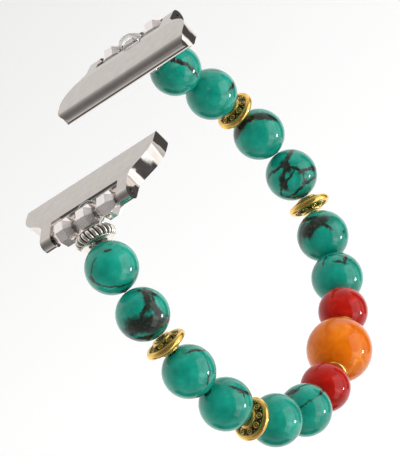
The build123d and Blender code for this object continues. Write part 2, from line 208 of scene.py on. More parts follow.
# the strokes of each bead, in shares of its radius: right and up of one end, right and up of the other
# end, and half the width
matrix_strokes = {
    "turquoise_bead_01": [(-0.77, -0.39, -0.32, -0.64, 0.030), (-0.32, -0.64, 0.23, -0.67, 0.030),
                          (0.23, -0.67, 0.71, -0.53, 0.030), (-0.72, -0.36, -0.66, -0.46, 0.060),
                          (-0.60, 0.28, -0.73, -0.36, 0.022), (-0.22, 0.60, -0.10, 0.65, 0.040)],
    "turquoise_bead_02": [(-0.05, 0.86, 0.36, 0.77, 0.100), (0.10, 0.85, 0.20, 0.30, 0.110),
                          (0.33, 0.72, 0.42, 0.30, 0.045), (0.22, 0.50, 0.52, 0.14, 0.100),
                          (0.50, 0.20, 0.65, -0.18, 0.120), (0.16, 0.36, -0.08, -0.15, 0.060),
                          (-0.22, -0.38, 0.56, -0.30, 0.270), (-0.80, -0.62, 0.26, -0.80, 0.130),
                          (-0.50, -0.60, 0.00, -0.40, 0.170), (0.50, -0.20, 0.98, -0.19, 0.060)],
    "turquoise_bead_03": [(0.04, 0.74, 0.48, 0.78, 0.050), (0.49, 0.71, 0.71, 0.25, 0.022),
                          (0.71, 0.25, 0.68, -0.40, 0.020), (0.69, -0.20, 0.67, -0.42, 0.040),
                          (0.30, -0.92, 0.82, -0.72, 0.060)],
    "turquoise_bead_04": [(0.27, 0.64, 0.65, 0.45, 0.045), (0.58, 0.46, 0.92, 0.33, 0.040),
                          (0.60, 0.52, 0.64, 0.36, 0.040)],
    "turquoise_bead_05": [(0.72, 0.60, 0.86, 0.36, 0.020)],
    "turquoise_bead_06": [(-0.68, 0.58, -0.44, 0.72, 0.100), (-0.52, 0.56, -0.05, 0.93, 0.022),
                          (0.50, 0.60, 0.66, 0.75, 0.040), (-0.18, 0.14, 0.24, 0.45, 0.022)],
    "turquoise_bead_07": [(-0.07, 0.66, 0.27, 0.60, 0.045), (0.25, 0.60, 0.31, 0.80, 0.060),
                          (0.31, 0.79, -0.12, 0.90, 0.030), (-0.56, 0.54, -0.44, 0.82, 0.035),
                          (-0.44, 0.82, -0.08, 0.90, 0.030), (0.50, 0.70, 0.70, 0.68, 0.022)],
    "turquoise_bead_08": [(-0.06, 0.62, -0.66, 0.20, 0.190), (-0.70, 0.52, -0.86, -0.37, 0.075),
                          (-0.24, 0.60, 0.18, 0.36, 0.070), (-0.72, 0.58, -0.20, 0.68, 0.080),
                          (-0.52, 0.10, -0.46, 0.40, 0.120), (0.76, 0.18, 0.80, 0.16, 0.040)],
    "turquoise_bead_09": [(0.03, 0.93, -0.26, 0.34, 0.070), (-0.26, 0.36, -0.83, 0.00, 0.048),
                          (-0.26, 0.36, 0.40, 0.12, 0.045), (0.38, 0.10, 0.82, 0.30, 0.050),
                          (-0.22, 0.26, -0.40, -0.34, 0.060), (-0.38, -0.28, -0.36, -0.84, 0.040),
                          (0.08, 0.12, -0.32, -0.42, 0.045), (0.42, 0.08, 0.50, -0.34, 0.032),
                          (0.52, -0.28, 0.00, -0.80, 0.040), (0.82, 0.30, 0.95, -0.08, 0.036),
                          (0.93, -0.08, 0.50, -0.32, 0.042), (-0.40, -0.82, 0.20, -0.86, 0.034),
                          (-0.83, 0.02, -0.90, -0.30, 0.040), (-0.36, -0.22, -0.26, -0.46, 0.110),
                          (-0.30, 0.42, -0.18, 0.26, 0.120), (0.80, 0.24, 0.90, 0.26, 0.075)],
    "turquoise_bead_10": [(-0.90, -0.05, -0.50, 0.50, 0.140), (-0.56, 0.46, -0.04, 0.72, 0.130),
                          (-0.12, 0.68, 0.34, 0.68, 0.150), (0.28, 0.66, 0.57, 0.58, 0.080)],
    "turquoise_bead_11": [(0.86, 0.55, 0.72, 0.18, 0.045), (0.10, 0.90, 0.44, 0.84, 0.025)],
    "turquoise_bead_12": [(-0.30, 0.40, 0.40, 0.20, 0.070), (0.40, 0.20, 0.80, -0.20, 0.050)],
}


def box_of(name):
    """The lowest and highest corners of a node at rest."""
    low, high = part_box(name)
    return np.array(low), np.array(high)


def centre_of(name):
    """The middle of a node's box."""
    low, high = box_of(name)
    return (low + high) / 2


def stroke_box(first, last, half_width):
    """The ellipsoid round two points of the unit ball: its middle, axes and half sizes.

    It is as deep as it is long, and never less than 0.4.
    """
    along = unit(last - first)
    outwards = unit(first + last)
    outwards = unit(outwards - along * outwards.dot(along))
    half_length = np.linalg.norm(last - first) / 2 + half_width
    axes = np.array([along, np.cross(outwards, along), outwards])
    return unit(first + last), axes, (half_length, half_width, max(half_length, 0.4))


# %% Turquoise material
turquoise_radius = 4


def turquoise(name, seed):
    """Block turquoise with the rock of one bead."""
    material, tree = fresh_material("polished_block_turquoise_" + name[-2:])
    place = millimetres(tree, centre_of(name))
    shifted = add(tree, "ShaderNodeVectorMath", {
        "operation": "ADD", 0: place, 1: (seed * 17.3, seed * 5.1, seed * 9.7)})
    # clouds 2.5 mm wide, and grains 0.5 mm wide in them
    clouds = add(tree, "ShaderNodeTexNoise", {
        "Vector": shifted, "Scale": 0.4, "Detail": 3.0, "Roughness": 0.55})
    grains = add(tree, "ShaderNodeTexNoise", {
        "Vector": shifted, "Scale": 2.2, "Detail": 4.0, "Roughness": 0.6})
    body = add(tree, "ShaderNodeValToRGB", {"Fac": clouds, "stops": [
        (0.30, linear("#0a7263")), (0.50, linear("#0f8270")), (0.72, linear("#209380"))]})
    speckle = add(tree, "ShaderNodeMath", {"operation": "MULTIPLY", 0: grains, 1: 0.22})
    body = add(tree, "ShaderNodeMix", {
        "data_type": "RGBA", "blend_type": "SOFT_LIGHT", 0: speckle, 6: body, 7: linear("#5cbfa8")}, 2)
    # ragged edges: the place is pushed about by some 0.2 mm, in lumps 0.8 mm wide and finer
    push = add(tree, "ShaderNodeTexNoise", {
        "Vector": shifted, "Scale": 1.3, "Detail": 5.0, "Roughness": 0.65}, "Color")
    push = add(tree, "ShaderNodeVectorMath", {"operation": "SUBTRACT", 0: push, 1: (0.5, 0.5, 0.5)})
    push = add(tree, "ShaderNodeVectorMath", {"operation": "SCALE", 0: push, "Scale": 1.1})
    pushed = add(tree, "ShaderNodeVectorMath", {"operation": "ADD", 0: place, 1: push})
    # the far half repeats the strokes as in a mirror: p - 2 min(p . b, 0) b, with b the axis to the near side
    depth_in = add(tree, "ShaderNodeVectorMath", {
        "operation": "DOT_PRODUCT", 0: pushed, 1: tuple(look_back)}, "Value")
    behind = add(tree, "ShaderNodeMath", {"operation": "MINIMUM", 0: depth_in, 1: 0.0})
    behind = add(tree, "ShaderNodeMath", {"operation": "MULTIPLY", 0: behind, 1: -2.0})
    fold = add(tree, "ShaderNodeVectorMath", {"operation": "SCALE", 0: tuple(look_back), "Scale": behind})
    pushed = add(tree, "ShaderNodeVectorMath", {"operation": "ADD", 0: pushed, 1: fold})
    inside = None
    for right_1, up_1, right_2, up_2, half_width in matrix_strokes[name]:
        middle, axes, half = stroke_box(on_bead(right_1, up_1), on_bead(right_2, up_2), half_width)
        stroke = add(tree, "ShaderNodeMapping", {
            "vector_type": "TEXTURE", "Vector": pushed, "Location": tuple(middle * turquoise_radius),
            "Rotation": tuple(Matrix(axes.tolist()).transposed().to_euler("XYZ")),
            "Scale": tuple(h * turquoise_radius for h in half)})
        far = add(tree, "ShaderNodeVectorMath", {"operation": "LENGTH", 0: stroke}, "Value")
        # a thin stroke stays faint, because its depth is held lower
        strength = min(1.0, 0.35 + 13 * half_width)
        depth = add(tree, "ShaderNodeMath", {"operation": "SUBTRACT", 0: 1.0, 1: far})
        depth = add(tree, "ShaderNodeMath", {"operation": "MINIMUM", 0: depth, 1: -0.75 + 0.85 * strength})
        if inside is not None:
            depth = add(tree, "ShaderNodeMath", {"operation": "MAXIMUM", 0: inside, 1: depth})
        inside = depth
    bites = add(tree, "ShaderNodeMath", {"operation": "MULTIPLY_ADD", 0: grains, 1: 0.9, 2: -0.38})
    bitten = add(tree, "ShaderNodeMath", {"operation": "ADD", 0: inside, 1: bites})
    pools = add(tree, "ShaderNodeMapRange", {
        "Value": bitten, "From Min": -0.75, "From Max": 0.10, "interpolation_type": "SMOOTHSTEP"})
    pools = add(tree, "ShaderNodeMath", {"operation": "MULTIPLY", 0: pools, 1: 0.96})
    # hair-fine veins: the walls between cells 1.6 mm wide, kept close to the strokes
    stirred = add(tree, "ShaderNodeVectorMath", {"operation": "ADD", 0: shifted, 1: push})
    walls = add(tree, "ShaderNodeTexVoronoi", {
        "feature": "DISTANCE_TO_EDGE", "Vector": stirred, "Scale": 0.62}, "Distance")
    veins = add(tree, "ShaderNodeMapRange", {"Value": walls, "From Min": 0.05, "From Max": 0.0})
    near_strokes = add(tree, "ShaderNodeMapRange", {"Value": inside, "From Min": -2.2, "From Max": -0.3})
    veins = add(tree, "ShaderNodeMath", {"operation": "MULTIPLY", 0: veins, 1: near_strokes})
    veins = add(tree, "ShaderNodeMath", {"operation": "MULTIPLY", 0: veins, 1: 0.5})
    dark = add(tree, "ShaderNodeMath", {"operation": "MAXIMUM", 0: pools, 1: veins})
    rock = add(tree, "ShaderNodeValToRGB", {"Fac": grains, "stops": [
        (0.35, linear("#100c0b")), (0.60, linear("#261d18")), (0.74, linear("#1a4239"))]})
    colour = add(tree, "ShaderNodeMix", {"data_type": "RGBA", 0: dark, 6: body, 7: rock}, 2)
    # the polish sinks the softer rock a little and leaves it duller
    height = add(tree, "ShaderNodeMath", {"operation": "SUBTRACT", 0: 1.0, 1: dark})
    bump = add(tree, "ShaderNodeBump", {"Height": height, "Strength": 0.10, "Distance": 0.02 * mm})
    shine = add(tree, "ShaderNodeMapRange", {"Value": dark, "To Min": 0.07, "To Max": 0.13})
    finish_material(tree, add(tree, "ShaderNodeBsdfPrincipled", {
        "Base Color": colour, "Roughness": shine, "Normal": bump, "IOR": 1.5}))
    return material


def dress(name, material):
    """Puts a material in every slot of a node."""
    for slot in frame["nodes"][name].material_slots:
        slot.material = material


for number, bead in enumerate(matrix_strokes, start=1):
    dress(bead, turquoise(bead, number))
print("turquoise beads:", len(matrix_strokes))


# %% [markdown]
# ## Red glass and amber resin
# The red beads are opaque lampworked glass: one deep colour, a little darker in streaks, under a
# surface as smooth as a lens. The large bead is cast resin in the colour of amber. Two batches were
# poured together, so paler and darker ribbons wind through it, and light goes a little way in.

# %% Red glass and amber resin
def red_glass():
    """Opaque red glass, with streaks about 2 mm wide along its wound layers."""
    material, tree = fresh_material("opaque_red_lampwork_glass")
    streaks = add(tree, "ShaderNodeTexNoise", {
        "Vector": millimetres(tree), "Scale": 0.45, "Detail": 3.0, "Distortion": 1.2})
    colour = add(tree, "ShaderNodeValToRGB", {"Fac": streaks, "stops": [
        (0.30, linear("#8d1008")), (0.55, linear("#a1150b")), (0.75, linear("#b01c10"))]})
    finish_material(tree, add(tree, "ShaderNodeBsdfPrincipled", {
        "Base Color": colour, "Roughness": 0.05, "IOR": 1.52, "Specular IOR Level": 0.30}))
    return material


def amber_resin():
    """Cast amber resin: ribbons 2 mm wide, bent by a slower swirl."""
    material, tree = fresh_material("cast_amber_resin")
    place = millimetres(tree, centre_of("amber_bead"))
    swirl = add(tree, "ShaderNodeTexNoise", {"Vector": place, "Scale": 0.22, "Detail": 2.0}, "Color")
    swirl = add(tree, "ShaderNodeVectorMath", {"operation": "SCALE", 0: swirl, "Scale": 9.0})
    bent = add(tree, "ShaderNodeVectorMath", {"operation": "ADD", 0: place, 1: swirl})
    ribbons = add(tree, "ShaderNodeTexNoise", {
        "Vector": bent, "Scale": 0.26, "Detail": 4.0, "Roughness": 0.5, "Distortion": 0.8})
    colour = add(tree, "ShaderNodeValToRGB", {"Fac": ribbons, "stops": [
        (0.30, linear("#bd5a05")), (0.46, linear("#ca6506")),
        (0.58, linear("#d16d0a")), (0.74, linear("#da8226"))]})
    finish_material(tree, add(tree, "ShaderNodeBsdfPrincipled", {
        "Base Color": colour, "Roughness": 0.06, "IOR": 1.54, "Specular IOR Level": 0.30,
        "Subsurface Weight": 0.15, "Subsurface Scale": 0.8 * mm}))
    return material


red, amber = red_glass(), amber_resin()
for bead in ("red_bead_1", "red_bead_2"):
    dress(bead, red)
dress("amber_bead", amber)
print("finishes:", red.name, "and", amber.name)


# %% [markdown]
# ## Plated metal
# The spacers and rings are brass with a thin, bright gold plate. Where a face is patterned the maker
# leaves a dark antique lacquer in the hollows and wipes it off the raised work. The carved pieces
# carry that height as an attribute, so one recipe gives both finishes. The small beads on the bars
# are cut glass under a film of silver. The adapters are polished steel, lapped on their flat faces
# and buffed at their ends, and the tubes, tips and springs are drawn steel, which is duller.

# %% Metals
def plated(name, bright, warm, roughness, dark=None, wave=0.0, metal=1.0):
    """Polished plate with faint polishing marks. With dark, the attribute raised tells metal from lacquer.

    wave is the slow unevenness that buffing leaves on rounded ends, in lumps 3 mm wide. Reflections swim
    in it. Flat faces, which are lapped, have almost none. metal below 1 is a film so thin that the body
    under it still scatters light.
    """
    material, tree = fresh_material(name)
    place = millimetres(tree)
    # polishing marks 0.1 mm apart and cloudy wear 1.5 mm wide
    marks = add(tree, "ShaderNodeTexNoise", {"Vector": place, "Scale": 9.0, "Detail": 3.0})
    wear = add(tree, "ShaderNodeTexNoise", {"Vector": place, "Scale": 0.7, "Detail": 2.0})
    colour = add(tree, "ShaderNodeMix", {"data_type": "RGBA", 0: wear, 6: linear(bright), 7: linear(warm)}, 2)
    rough = add(tree, "ShaderNodeMapRange", {
        "Value": marks, "To Min": roughness * 0.7, "To Max": roughness * 1.5})
    bump = add(tree, "ShaderNodeBump", {"Height": marks, "Strength": 0.05, "Distance": 0.01 * mm})
    if wave:
        lumps = add(tree, "ShaderNodeTexNoise", {
            "Vector": place, "Scale": 0.33, "Detail": 1.0, "Distortion": 0.6})
        normal = add(tree, "ShaderNodeNewGeometry", output="Normal")
        sideways = add(tree, "ShaderNodeSeparateXYZ", {0: normal})
        sideways = add(tree, "ShaderNodeMath", {"operation": "ABSOLUTE", 0: sideways})
        on_ends = add(tree, "ShaderNodeMapRange", {
            "Value": sideways, "From Min": 0.3, "From Max": 0.7, "To Min": 0.06})
        lumps = add(tree, "ShaderNodeMath", {"operation": "MULTIPLY", 0: lumps, 1: on_ends})
        bump = add(tree, "ShaderNodeBump", {
            "Height": lumps, "Normal": bump, "Strength": 1.0, "Distance": wave * mm})
    if dark:
        raised = add(tree, "ShaderNodeAttribute", {"attribute_name": "raised"}, "Fac")
        wiped = add(tree, "ShaderNodeMapRange", {"Value": raised, "From Min": 0.30, "From Max": 0.70})
        colour = add(tree, "ShaderNodeMix", {"data_type": "RGBA", 0: wiped, 6: linear(dark), 7: colour}, 2)
        rough = add(tree, "ShaderNodeMix", {"data_type": "FLOAT", 0: wiped, 2: 0.55, 3: rough})
        # a trace of lacquer stays in the grain of the wiped metal and scatters a little light
        metal = add(tree, "ShaderNodeMapRange", {"Value": wiped, "To Min": 0.55, "To Max": 0.92})
    finish_material(tree, add(tree, "ShaderNodeBsdfPrincipled", {
        "Base Color": colour, "Metallic": metal, "Roughness": rough, "Normal": bump}))
    return material


gold = plated("gold_plated_brass", "#fbd885", "#eebb58", roughness=0.12)
antique_gold = plated("antiqued_gold_plated_brass", "#f9d37c", "#ecb754", dark="#2b240c", roughness=0.15)
silver = plated("metallised_cut_glass", "#fbf4f1", "#f2e8e4", roughness=0.05, wave=0.3, metal=0.77)
antique_silver = plated("oxidised_silver_plate", "#f0ebe2", "#dcd4c8", dark="#2a2420", roughness=0.14)
polished_steel = plated("mirror_polished_steel", "#dcd5d0", "#cbc2bb", roughness=0.08, wave=0.22)
drawn_steel = plated("drawn_steel_tube", "#b9b7b4", "#a7a4a0", roughness=0.28)
for name in ("gold_ring_1", "gold_ring_2"):
    dress(name, gold)
for end in ("near", "far"):
    dress(f"{end}_adapter", polished_steel)
    dress(f"{end}_lock_button", polished_steel)
    for number in (1, 2, 3):
        dress(f"{end}_bar_bead_{number}", silver)
    for name in ("bar_tube", "bar_tip_left", "bar_tip_right", "bar_spring", "lock_spring", "crimp_tube"):
        dress(f"{end}_{name}", drawn_steel)
print("materials so far:", len(bpy.data.materials))


# %% [markdown]
# ## Carved spacers
# A spacer is cast, and its faces carry rings with a dot in each, and a grain between every two rings.
# A surface of revolution can't hold that pattern, but it is a good start: the grid's rows run along
# the turned profile and its columns round the bore. The ornament is then a height that depends on
# where a grid point lies, and the point moves out by that height along the profile's normal. The
# same height is kept as the attribute raised, for the lacquer.

# %% Grid surfaces
def grid_faces(rows, columns):
    """Quads of a grid closed both ways: point (r, c) joins the next row and the next column."""
    r, c = np.meshgrid(np.arange(rows), np.arange(columns), indexing="ij")
    below, beside = (r + 1) % rows, (c + 1) % columns
    return np.stack([r * columns + c, r * columns + beside, below * columns + beside, below * columns + c],
                    axis=-1).reshape(-1, 4)


def surface_object(name, points, faces, raised, material):
    """A smooth mesh object from arrays: points (n, 3) in metres, quads (m, 4), raised (n)."""
    mesh = bpy.data.meshes.new(name)
    mesh.vertices.add(len(points))
    mesh.vertices.foreach_set("co", np.ascontiguousarray(points, np.float32).ravel())
    mesh.loops.add(faces.size)
    mesh.loops.foreach_set("vertex_index", faces.astype(np.int32).ravel())
    mesh.polygons.add(len(faces))
    mesh.polygons.foreach_set("loop_start", np.arange(0, faces.size, 4, dtype=np.int32))
    mesh.update(calc_edges=True)
    mesh.polygons.foreach_set("use_smooth", np.ones(len(faces), bool))
    height = mesh.attributes.new("raised", "FLOAT", "POINT")
    height.data.foreach_set("value", np.ascontiguousarray(raised, np.float32).ravel())
    mesh.materials.append(material)
    piece = bpy.data.objects.new(name, mesh)
    bpy.context.scene.collection.objects.link(piece)
    return piece


def bore_frame(name):
    """Middle and axes of a piece's bore: across it sideways, across it upwards, and along it."""
    start, end = bore_of[name]
    along = unit(end - start)
    aside = unit(np.array((1.0, 0, 0)) - along * along[0])
    return (start + end) / 2, np.array([aside, np.cross(along, aside), along])


def turned_profile(points, step):
    """Evenly spaced points along a closed polyline of (radius, height), with each one's outward normal."""
    corners = np.array(points + points[:1], float)
    lengths = np.r_[0, np.cumsum(np.linalg.norm(np.diff(corners, axis=0), axis=1))]
    count = int(lengths[-1] / step)
    travel = np.arange(count) * lengths[-1] / count
    line = np.stack([np.interp(travel, lengths, corners[:, k]) for k in (0, 1)], axis=-1)
    # two rounds of smoothing take the edge off the corners
    for _ in range(2):
        line = (np.roll(line, 1, 0) + 2 * line + np.roll(line, -1, 0)) / 4
    tangent = np.roll(line, -1, 0) - np.roll(line, 1, 0)
    tangent /= np.linalg.norm(tangent, axis=1, keepdims=True)
    return line, np.stack([tangent[:, 1], -tangent[:, 0]], axis=-1)


def turned_grid(line, columns):
    """Radius, height and turn of every grid point: rows along the profile, columns round the bore."""
    turn = np.linspace(0, 2 * math.pi, columns, endpoint=False)
    radius, turn_grid = np.meshgrid(line[:, 0], turn, indexing="ij")
    return radius, np.repeat(line[:, 1:2], columns, axis=1), turn_grid


def turned_points(radius, height, turn, middle, axes):
    """The grid's points in metres: middle + (r cos turn, r sin turn, height) along the bore's axes."""
    local = np.stack([radius * np.cos(turn), radius * np.sin(turn), height], axis=-1)
    return middle + local.reshape(-1, 3) @ axes * mm


# %% Spacer profile
spacer_radius, spacer_half, rim_radius = 3.3, 1.25, 0.6
bore_radius, collar_radius = 0.75, 1.55
field_inner, field_outer = (collar_radius + 0.07, 0.90), (2.66, 0.50)
# 273 points by 360 columns, two triangles to a face: 196,560
spacer_step, spacer_columns = 0.032, 360
rim_middle = spacer_radius - rim_radius
rim_angles = np.radians(np.linspace(-78, 78, 14))
rim = [(rim_middle + rim_radius * math.cos(a), rim_radius * math.sin(a)) for a in rim_angles]
upper = [field_outer, field_inner, (collar_radius, 0.94), (collar_radius, 1.10),
         (collar_radius - 0.12, 1.22), (collar_radius - 0.3, spacer_half),
         (bore_radius + 0.14, spacer_half), (bore_radius, 1.12)]
lower = [(r, -h) for r, h in upper[::-1]]
spacer_line, spacer_normal = turned_profile(rim + upper + lower, spacer_step)
print("spacer profile points:", len(spacer_line))


# %% Spacer ornament
motif_count, motif_ring, motif_wire, motif_dot, motif_height = 9, 0.37, 0.080, 0.13, 0.11
# the grains between two motifs: how far each stands from the field's edge, and how wide it is
outer_grain, outer_width = 0.20, 0.09
inner_grain, inner_width, inner_share = 0.18, 0.07, 0.8
# nothing is carved this near to the field's edges, or below this height, which is the rim
field_margin, field_low = 0.02, 0.3


def spacer_ornament(radius, height, turn):
    """Ring and dot: a bump where the distance from a motif's middle is near the ring, or near nothing.

    The distance is measured on the cone: along its slope, and round it at the motif's radius.
    """
    low, high = np.array(field_outer), np.array(field_inner)
    slope = high - low
    slope_length = np.linalg.norm(slope)
    along = ((radius - low[0]) * slope[0] + (np.abs(height) - low[1]) * slope[1]) / slope_length
    field = (along > field_margin) & (along < slope_length - field_margin)
    field &= (radius > collar_radius) & (np.abs(height) > field_low)
    pitch = 2 * math.pi / motif_count
    # the motifs of the lower face stand between those of the upper one
    turn = turn + (height < 0) * pitch / 2
    from_motif = ((turn + pitch / 2) % pitch - pitch / 2) * radius
    from_grain = (turn % pitch - pitch / 2) * radius
    away = np.hypot(along - slope_length * 0.5, from_motif)
    ring = np.exp(-((away - motif_ring) / motif_wire) ** 2)
    dot = np.exp(-(away / motif_dot) ** 4)
    outer = np.exp(-(np.hypot(along - outer_grain, from_grain) / outer_width) ** 4)
    inner = np.exp(-(np.hypot(along - slope_length + inner_grain, from_grain) / inner_width) ** 4)
    bump = np.maximum(np.maximum(ring, dot), np.maximum(outer, inner_share * inner))
    # the power below 1 wipes the lacquer off the flanks of the raised work too
    return np.where(field, bump * motif_height, 0.0), np.where(field, bump ** 0.7, 1.0)


def spacer(name, started_at):
    """A carved spacer: the profile turned about the bore, with the ornament raised on both cones."""
    middle, axes = bore_frame(name)
    radius, height, turn = turned_grid(spacer_line, spacer_columns)
    bump, raised = spacer_ornament(radius, height, turn + started_at)
    radius = radius + bump * spacer_normal[:, 0:1]
    height = height + bump * spacer_normal[:, 1:2]
    points = turned_points(radius, height, turn, middle, axes)
    piece = surface_object(name.replace("gold_", "carved_"), points,
                           grid_faces(len(spacer_line), spacer_columns), raised, antique_gold)
    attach(piece, name)
    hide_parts(name)
    return piece


# each spacer was strung at another turn
turn_step = 0.37
spacers = [spacer(f"gold_saucer_{number}", number * turn_step) for number in range(1, 5)]
print("carved spacers:", len(spacers), "with", len(spacers[0].data.polygons), "faces each")


# %% [markdown]
# ## Rope rondelles
# At each end of the string sits a silver ring wound with twisted wire between two smooth cheeks. It
# is turned like the spacers, and the rope is again a height: rows of rounded ribs with deep, narrow
# valleys, which lean because the wire is twisted.

# %% Rope rondelle
rope_radius, rope_half, rope_bore = 3.2, 1.0, 1.45
rope_core, rope_crown = 2.52, 0.68
cheek_inner, cheek_outer, cheek_width = 0.82, 2.72, 0.18
rib_count, rib_depth, rib_lean = 22, 0.50, math.tan(math.radians(17))
# a rib starts at this radius and has its full depth a little further out
rib_foot, rib_rise = 2.56, 0.2
# a rondelle stands half a gap from the hinge at the first bead, and the near one tips 12 degrees on its cord
half_gap, rope_lean = 0.12, {"near": 12, "far": 0}
# 182 points by 528 columns, two triangles to a face: 192,192
rope_step, rope_columns = 0.04, 528


def rope_profile():
    """Bore, a rounded cheek, the crown of the rope, and the other cheek, as (radius, height)."""
    crown = np.radians(np.linspace(-90, 90, 17))
    rope = [(rope_core + rope_crown * math.cos(a), cheek_inner * math.sin(a)) for a in crown]
    edge = [(cheek_outer - 0.04, cheek_inner + 0.02), (cheek_outer, cheek_inner + cheek_width * 0.5),
            (cheek_outer - 0.06, rope_half - 0.03), (cheek_outer - 0.2, rope_half),
            (rope_bore + 0.15, rope_half), (rope_bore, rope_half - 0.12)]
    return rope + edge + [(r, -h) for r, h in edge[::-1]]


def rondelle_middle(name):
    """The middle on the bore's axis: half a gap and half a width from the hinge at the first bead."""
    start, finish = bore_of[name]
    along = unit(finish - start)
    if name.startswith("near"):
        return finish - along * (rope_half + half_gap) * mm
    return start + along * (rope_half + half_gap) * mm


def rope_rondelle(name):
    """The rope: a rib's section is a half sine to the power 0.6, so valleys are narrow and crowns broad."""
    line = turned_profile(rope_profile(), rope_step)[0]
    aside, upward, along = bore_frame(name)[1]
    lean = math.radians(rope_lean[name.split("_")[0]])
    axes = np.array([aside, upward * math.cos(lean) + along * math.sin(lean),
                     along * math.cos(lean) - upward * math.sin(lean)])
    radius, height, turn = turned_grid(line, rope_columns)
    phase = rib_count / 2 * (turn + height * rib_lean / rope_radius)
    rib = np.abs(np.sin(phase)) ** 0.6
    on_rope = np.clip((radius - rib_foot) / rib_rise, 0, 1) * (np.abs(height) < cheek_inner - 0.01)
    radius = radius - on_rope * (1 - rib) * rib_depth
    raised = np.where(on_rope > 0, rib ** 1.5 * np.clip(on_rope * 1.2, 0, 1), 1.0)
    points = turned_points(radius, height, turn, rondelle_middle(name), axes)
    piece = surface_object(name.replace("rope", "wound"), points,
                           grid_faces(len(line), rope_columns), raised, antique_silver)
    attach(piece, name)
    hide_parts(name)
    return piece


rondelles = [rope_rondelle(f"{end}_rope_rondelle") for end in ("near", "far")]
print("wound rondelles:", len(rondelles), "with", len(rondelles[0].data.polygons), "faces each")


# %% [markdown]
# ## The cord
# One clear elastic cord runs through every bead. It shows only in the narrow gaps and where it goes
# round the bars. Each bead carries the stretch in its own bore, so the cord bends where the string
# bends. At the bars it is a loop that dips between the small beads, under the bar and back.

# %% Clear elastic
def clear_elastic():
    """Polyurethane cord: almost clear, and milky in places a third of a millimetre wide."""
    material, tree = fresh_material("clear_polyurethane_elastic")
    milk = add(tree, "ShaderNodeTexNoise", {"Vector": millimetres(tree), "Scale": 3.0, "Detail": 2.0})
    colour = add(tree, "ShaderNodeValToRGB", {"Fac": milk, "stops": [
        (0.3, linear("#cfd6d2")), (0.7, linear("#e6eae6"))]})
    finish_material(tree, add(tree, "ShaderNodeBsdfPrincipled", {
        "Base Color": colour, "Roughness": 0.08, "IOR": 1.49, "Transmission Weight": 0.95}))
    return material


elastic = clear_elastic()
cord_radius = 0.25


def cord_stretch(name, route, body):
    """A stretch of cord: a smooth spline with the route as its control points, and a round section."""
    curve = bpy.data.curves.new(name, "CURVE")
    curve.dimensions = "3D"
    curve.bevel_depth = cord_radius * mm
    curve.bevel_resolution = 4
    curve.resolution_u = 8
    curve.use_fill_caps = True
    spline = curve.splines.new("NURBS")
    spline.points.add(len(route) - 1)
    spline.points.foreach_set("co", np.c_[np.array(route), np.ones(len(route))].ravel())
    # a route of two points has no bend to smooth
    spline.order_u = 3 if len(route) > 2 else 2
    spline.use_endpoint_u = True
    curve.materials.append(elastic)
    piece = bpy.data.objects.new(name, curve)
    bpy.context.scene.collection.objects.link(piece)
    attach(piece, body)
    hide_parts("elastic_cord")


for name, (start, end) in bore_of.items():
    if "rondelle" not in name:
        cord_stretch("cord_in_" + name, [start, end], name)


# %% End loops
# the small beads, the bar's tube and the crimp as they are in the solids, in millimetres
bar_bead_pitch, bar_bead_length, bar_bead_table = 4.2, 3.4, 1.5
bar_bead_radius, bar_bead_end_radius, tube_radius, strand_gap = 2.05, 1.25, 0.75, 0.06
crimp_length, crimp_set_in = 1.2, 0.2


def end_loop(name, pin, facing):
    """The loop's route: from the crimp down between two beads, under the bar and behind the middle bead.

    The way back is the same route mirrored across the bore.
    """
    start, finish = bore_of[name]
    across, along = bore_frame(name)[1][[0, 2]]
    away = along * facing
    down = unit(np.cross(away, across))
    down = down if down[2] < 0 else -down
    groove, pitch = bar_bead_pitch / 2, 2 * cord_radius + strand_gap
    over = tube_radius + cord_radius + strand_gap
    clear = bar_bead_radius + cord_radius + 2 * strand_gap
    slope = 2 * (bar_bead_radius - bar_bead_end_radius) / (bar_bead_length - bar_bead_table)
    edge = bar_bead_table / 2
    mouth = (rondelle_middle(name) - pin) / mm + away * (crimp_set_in - crimp_length / 2 - cord_radius)
    dip = [away * clear + across * edge,
           away * (clear - (groove - edge) * slope) + across * groove + down * strand_gap * 5,
           across * groove + down * (over + 2 * cord_radius + 4 * strand_gap),
           across * groove + down * over - away * over * 1.5,
           across * groove / 2 - away * (clear + strand_gap)]
    other = [point - across * (2 * point.dot(across)) for point in dip[::-1]]
    begin = mouth + away * (crimp_length + cord_radius) + across * pitch
    inner = finish if facing > 0 else start
    return [pin + p * mm for p in [begin, mouth + across * pitch] + dip + other + [mouth]] + [inner]


cord_stretch("cord_loop_near", end_loop("near_rope_rondelle", near_pin, 1), "near_rope_rondelle")
cord_stretch("cord_loop_far", end_loop("far_rope_rondelle", far_pin, -1), "far_rope_rondelle")
print("cord stretches and loops:", len(bore_of))


# %% [markdown]
# ## Springs
# Four coil springs are hidden in the band: one in each bar tube, pressed from both ends by the tips,
# and one over each lock button. A coil is a tube swept along a helix. The bar spring is made in two
# halves, one for each tip.

# %% Coils
points_a_turn, points_round_wire = 24, 8


